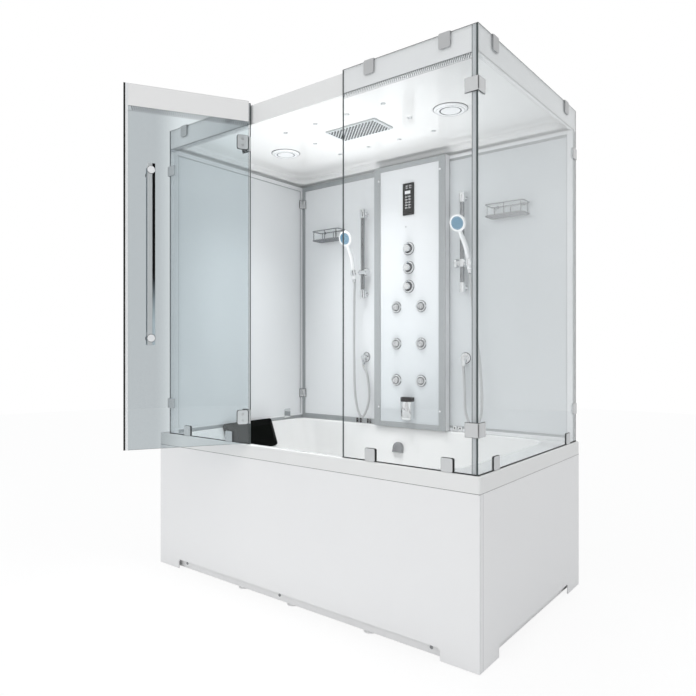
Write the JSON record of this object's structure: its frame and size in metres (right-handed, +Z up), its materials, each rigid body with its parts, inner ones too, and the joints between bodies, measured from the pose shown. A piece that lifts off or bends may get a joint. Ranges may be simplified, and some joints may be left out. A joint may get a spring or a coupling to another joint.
{
  "type": "steam shower bath",
  "caption": "Bath tub with a glazed steam shower cabin above it: hinged glass door, control column with body jets, hand showers on rails, roof with rain head.",
  "frame": {"origin": "on the floor under the centre of the tub, at the middle levelling foot", "axes": "+X towards the glazed side wall, -Y out of the front where the door opens, +Z up"},
  "size_m": [1.75, 1.455, 2.1533],
  "materials": {
    "acrylic": "glossy white",
    "apron": "glossy white",
    "panel": "glossy bluish white",
    "aluminium": "satin grey",
    "chrome": "polished",
    "satin_metal": "satin",
    "steel": "galvanised",
    "brass": "plain",
    "glass": "clear, toughened",
    "black": "glossy black",
    "foam": "soft matt black",
    "rubber": "matt black",
    "grey": "matt grey",
    "white": "glossy white"
  },
  "bodies": {
    "cabin": {"tub": "acrylic", "roof": "acrylic", "front_apron": "apron", "side_apron": "apron", "left_wall_panel": "panel", "back_panel_left": "panel", "back_panel_right": "panel", "column_panel": "panel", "left_wall_frame": "aluminium", "back_wall_frame": "aluminium", "column_frame": "aluminium", "overflow_cover": "chrome", "rain_shower_head": "chrome", "steam_outlet": "chrome", "upper_hinge_block": "satin_metal", "lower_hinge_block": "satin_metal", "front_left_clamp_lower": "satin_metal", "front_left_clamp_upper": "satin_metal", "front_right_clamp_lower": "satin_metal", "front_right_clamp_upper": "satin_metal", "steam_generator": "satin_metal", "base_frame": "steel", "mixer_valve": "brass", "front_left_glass": "glass", "front_right_glass": "glass", "side_glass": "glass", "control_pad": "black", "pillow": "foam", "waste_trap": "grey", "ceiling_speaker": "grey", "ceiling_light": "white", "left_shower_rail": "chrome", "left_wall_elbow": "chrome", "left_shelf": "chrome", "left_shower_hose": "satin_metal", "right_shower_rail": "chrome", "right_wall_elbow": "chrome", "right_shelf": "chrome", "right_shower_hose": "satin_metal"},
    "door": {"door_glass": "glass", "door_handle": "satin_metal", "door_seal": "rubber", "upper_hinge_leaf": "satin_metal", "lower_hinge_leaf": "satin_metal"},
    "knob_1": {"control_knob_1": "chrome"},
    "knob_2": {"control_knob_2": "chrome"},
    "knob_3": {"control_knob_3": "chrome"},
    "jet_1": {"jet_nozzle_1": "satin_metal"},
    "jet_2": {"jet_nozzle_2": "satin_metal"},
    "jet_3": {"jet_nozzle_3": "satin_metal"},
    "jet_4": {"jet_nozzle_4": "satin_metal"},
    "jet_5": {"jet_nozzle_5": "satin_metal"},
    "jet_6": {"jet_nozzle_6": "satin_metal"},
    "left_slider": {"left_slider": "chrome"},
    "left_cradle": {"left_cradle": "chrome", "left_handset": "white"},
    "right_slider": {"right_slider": "chrome"},
    "right_cradle": {"right_cradle": "chrome", "right_handset": "white"},
    "plug": {"drain_plug": "chrome"}
  },
  "joints": [
    {"name": "door_hinge", "type": "hinge", "parent": "cabin", "child": "door", "pos_m": [-0.226, -0.5, 1.4], "axis": [0, 0, 1], "range_deg": [-15, 120]},
    {"name": "knob_1_turn", "type": "hinge", "parent": "cabin", "child": "knob_1", "pos_m": [0.02, 0.4093, 1.6], "axis": [0, -1, 0], "range_deg": [-90, 90]},
    {"name": "knob_2_turn", "type": "hinge", "parent": "cabin", "child": "knob_2", "pos_m": [0.02, 0.4093, 1.5], "axis": [0, -1, 0], "range_deg": [-90, 90]},
    {"name": "knob_3_turn", "type": "hinge", "parent": "cabin", "child": "knob_3", "pos_m": [0.02, 0.4093, 1.4], "axis": [0, -1, 0], "range_deg": [-90, 90]},
    {"name": "jet_1_tilt", "type": "hinge", "parent": "cabin", "child": "jet_1", "pos_m": [-0.057, 0.4093, 1.293], "axis": [1, 0, 0], "range_deg": [-15, 15]},
    {"name": "jet_2_tilt", "type": "hinge", "parent": "cabin", "child": "jet_2", "pos_m": [0.097, 0.4093, 1.293], "axis": [1, 0, 0], "range_deg": [-15, 15]},
    {"name": "jet_3_tilt", "type": "hinge", "parent": "cabin", "child": "jet_3", "pos_m": [-0.057, 0.4093, 1.098], "axis": [1, 0, 0], "range_deg": [-15, 15]},
    {"name": "jet_4_tilt", "type": "hinge", "parent": "cabin", "child": "jet_4", "pos_m": [0.097, 0.4093, 1.098], "axis": [1, 0, 0], "range_deg": [-15, 15]},
    {"name": "jet_5_tilt", "type": "hinge", "parent": "cabin", "child": "jet_5", "pos_m": [-0.057, 0.4093, 0.904], "axis": [1, 0, 0], "range_deg": [-15, 15]},
    {"name": "jet_6_tilt", "type": "hinge", "parent": "cabin", "child": "jet_6", "pos_m": [0.097, 0.4093, 0.904], "axis": [1, 0, 0], "range_deg": [-15, 15]},
    {"name": "left_slider_slide", "type": "slide", "parent": "cabin", "child": "left_slider", "axis": [0, 0, 1], "range_m": [-0.07, 0.27], "deforming": ["left_shower_hose"]},
    {"name": "left_cradle_tilt", "type": "hinge", "parent": "left_slider", "child": "left_cradle", "pos_m": [-0.289, 0.417, 1.498], "axis": [1, 0, 0], "range_deg": [-10, 30], "deforming": ["left_shower_hose"]},
    {"name": "right_slider_slide", "type": "slide", "parent": "cabin", "child": "right_slider", "axis": [0, 0, 1], "range_m": [-0.07, 0.27], "deforming": ["right_shower_hose"]},
    {"name": "right_cradle_tilt", "type": "hinge", "parent": "right_slider", "child": "right_cradle", "pos_m": [0.329, 0.417, 1.498], "axis": [1, 0, 0], "range_deg": [-10, 30], "deforming": ["right_shower_hose"]},
    {"name": "drain_plug_lift", "type": "slide", "parent": "cabin", "child": "plug", "axis": [0, 0, 1], "range_m": [0, 0.012]}
  ]
}
